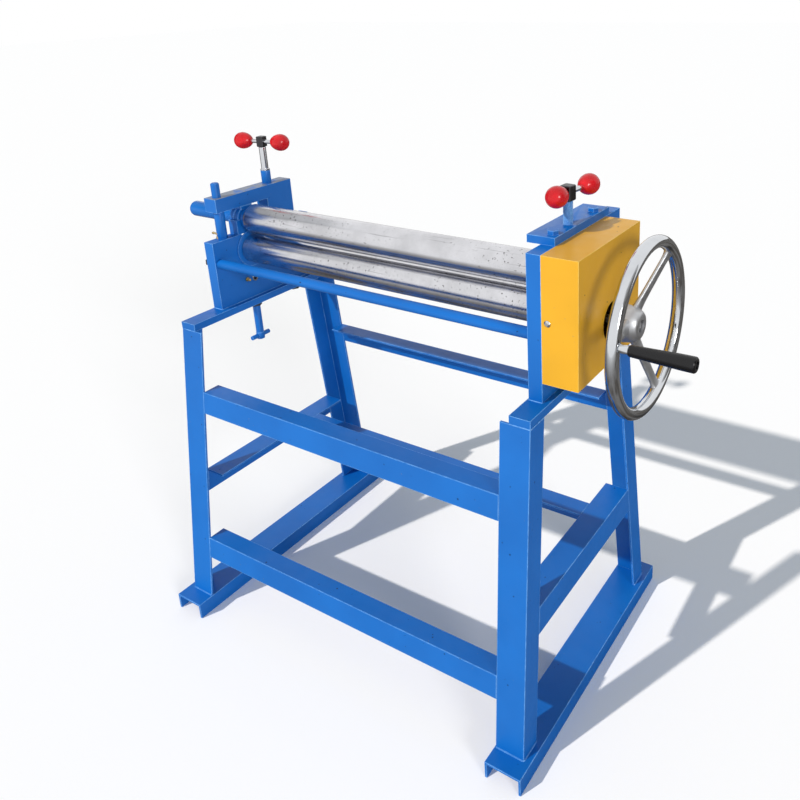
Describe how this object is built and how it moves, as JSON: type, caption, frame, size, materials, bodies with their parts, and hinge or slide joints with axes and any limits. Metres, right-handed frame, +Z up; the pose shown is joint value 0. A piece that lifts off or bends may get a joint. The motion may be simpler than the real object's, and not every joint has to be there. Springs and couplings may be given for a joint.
{
  "type": "slip roll machine",
  "caption": "Hand-cranked slip roll on a welded blue angle stand, with a chrome handwheel, yellow gear cover and red-knobbed screws.",
  "frame": {"origin": "middle of the overall box at floor level", "axes": "+X along the rolls towards the crank, +Y to the rear, +Z up"},
  "size_m": [1.608, 0.79, 1.327],
  "materials": {
    "blue_paint": "gloss",
    "yellow_paint": "gloss",
    "ground_steel": "ground",
    "machined_steel": "machined",
    "dark_steel": "oiled",
    "polished_chrome": "polished",
    "bearing_bronze": "machined",
    "red_knob": "gloss",
    "black_grip": "satin"
  },
  "bodies": {
    "stand": {"left_foot": "blue_paint", "right_foot": "blue_paint", "front_left_leg": "blue_paint", "front_right_leg": "blue_paint", "rear_left_leg": "blue_paint", "rear_right_leg": "blue_paint", "left_end_bar": "blue_paint", "right_end_bar": "blue_paint", "left_side_rail": "blue_paint", "right_side_rail": "blue_paint", "upper_front_rail": "blue_paint", "lower_front_rail": "blue_paint", "cross_rail": "blue_paint", "upper_rear_rail": "blue_paint", "left_end_plate": "blue_paint", "right_end_plate": "blue_paint", "cap_plate": "blue_paint", "cap_bolts": "blue_paint", "tie_rod": "blue_paint", "tie_rod_nuts": "dark_steel", "arm_post": "blue_paint", "saddle_bearing": "blue_paint", "lower_bush": "bearing_bronze", "gear_cover": "yellow_paint", "cover_lugs": "dark_steel", "cover_screws": "machined_steel", "under_lock_nut": "dark_steel", "plate_bolts": "dark_steel", "grease_nipple": "bearing_bronze"},
    "lower_carrier": {"lower_bearing_block": "bearing_bronze"},
    "lower_roll": {"lower_roll": "ground_steel", "lower_gear": "machined_steel", "hand_wheel": "polished_chrome", "wheel_screw": "machined_steel", "grip_spindle": "polished_chrome"},
    "grip": {"grip": "black_grip"},
    "top_carrier": {"top_bearing_block": "bearing_bronze"},
    "top_roll": {"top_roll": "ground_steel", "top_gear": "machined_steel"},
    "rear_carriage": {"rear_bearing_blocks": "bearing_bronze"},
    "rear_roll": {"rear_roll": "ground_steel"},
    "left_rear_screw": {"left_rear_screw": "dark_steel"},
    "right_rear_screw": {"right_rear_screw": "dark_steel"},
    "top_screw_foot": {"top_screw_foot": "machined_steel"},
    "top_screw": {"top_screw": "blue_paint", "top_screw_bar": "polished_chrome", "top_screw_knobs": "red_knob"},
    "under_screw_foot": {"under_screw_foot": "machined_steel"},
    "under_screw": {"under_screw": "blue_paint", "under_screw_bar": "blue_paint"},
    "release_arm": {"release_arm": "blue_paint", "pressure_pad": "bearing_bronze", "clamp_sleeve": "blue_paint"},
    "clamp_screw": {"clamp_screw": "polished_chrome", "clamp_bar": "polished_chrome", "clamp_knobs": "red_knob"},
    "clamp_nut": {"clamp_nut": "dark_steel"}
  },
  "joints": [
    {"name": "lower_tilt", "type": "hinge", "parent": "stand", "child": "lower_carrier", "pos_m": [0.451, -0.014, 1.017], "axis": [0, 1, 0], "range_deg": [-0.165, 0.165]},
    {"name": "crank_turn", "type": "hinge", "parent": "lower_carrier", "child": "lower_roll", "pos_m": [0.451, -0.014, 1.017], "axis": [1, 0, 0], "continuous": true},
    {"name": "grip_turn", "type": "hinge", "parent": "lower_roll", "child": "grip", "pos_m": [0.736, -0.19717, 1.0493], "axis": [1, 0, 0], "continuous": true},
    {"name": "top_tilt", "type": "hinge", "parent": "stand", "child": "top_carrier", "pos_m": [-0.592, -0.014, 1.107], "axis": [0, 1, 0], "range_deg": [-0.165, 0.165]},
    {"name": "top_roll_turn", "type": "hinge", "parent": "top_carrier", "child": "top_roll", "pos_m": [-0.592, -0.014, 1.107], "axis": [1, 0, 0], "continuous": true},
    {"name": "rear_roll_lift", "type": "slide", "parent": "stand", "child": "rear_carriage", "axis": [0, 0, 1], "range_m": [-0.024, 0]},
    {"name": "rear_roll_turn", "type": "hinge", "parent": "rear_carriage", "child": "rear_roll", "pos_m": [-0.064, 0.14, 1.03], "axis": [1, 0, 0], "continuous": true},
    {"name": "left_rear_screw_turn", "type": "hinge", "parent": "rear_carriage", "child": "left_rear_screw", "pos_m": [-0.592, 0.14, 0.9], "axis": [0, 0, 1], "range_deg": [-3470, 0]},
    {"name": "right_rear_screw_turn", "type": "hinge", "parent": "rear_carriage", "child": "right_rear_screw", "pos_m": [0.451, 0.14, 0.9], "axis": [0, 0, 1], "range_deg": [-3470, 0]},
    {"name": "top_foot_travel", "type": "slide", "parent": "stand", "child": "top_screw_foot", "axis": [0, 0, 1], "range_m": [-0.0031, 0.0031]},
    {"name": "top_screw_turn", "type": "hinge", "parent": "top_screw_foot", "child": "top_screw", "pos_m": [0.446, -0.014, 1.2], "axis": [0, 0, 1], "range_deg": [-435, 435]},
    {"name": "under_foot_travel", "type": "slide", "parent": "stand", "child": "under_screw_foot", "axis": [0, 0, 1], "range_m": [-0.0031, 0.0031]},
    {"name": "under_screw_turn", "type": "hinge", "parent": "under_screw_foot", "child": "under_screw", "pos_m": [-0.592, -0.014, 0.85], "axis": [0, 0, 1], "range_deg": [-435, 435]},
    {"name": "release_arm_swing", "type": "hinge", "parent": "stand", "child": "release_arm", "pos_m": [-0.595, -0.094, 1.16], "axis": [0, 0, 1], "range_deg": [0, 33]},
    {"name": "clamp_screw_turn", "type": "hinge", "parent": "release_arm", "child": "clamp_screw", "pos_m": [-0.598, 0.09, 1.2], "axis": [0, 0, 1], "range_deg": [0, 360]},
    {"name": "clamp_nut_travel", "type": "slide", "parent": "release_arm", "child": "clamp_nut", "axis": [0, 0, 1], "range_m": [-0.00251, 0]}
  ],
  "couplings": [
    {"joint": "top_roll_turn", "follows": "crank_turn", "ratio": -1},
    {"joint": "left_rear_screw_turn", "follows": "rear_roll_lift", "rad_per_m": 2513.3},
    {"joint": "right_rear_screw_turn", "follows": "rear_roll_lift", "rad_per_m": 2513.3},
    {"joint": "top_foot_travel", "follows": "top_tilt", "m_per_rad": -1.038},
    {"joint": "top_screw_turn", "follows": "top_tilt", "ratio": -2608.8},
    {"joint": "under_foot_travel", "follows": "lower_tilt", "m_per_rad": 1.043},
    {"joint": "under_screw_turn", "follows": "lower_tilt", "ratio": 2621.3},
    {"joint": "clamp_nut_travel", "follows": "clamp_screw_turn", "m_per_rad": -0.00039789}
  ]
}
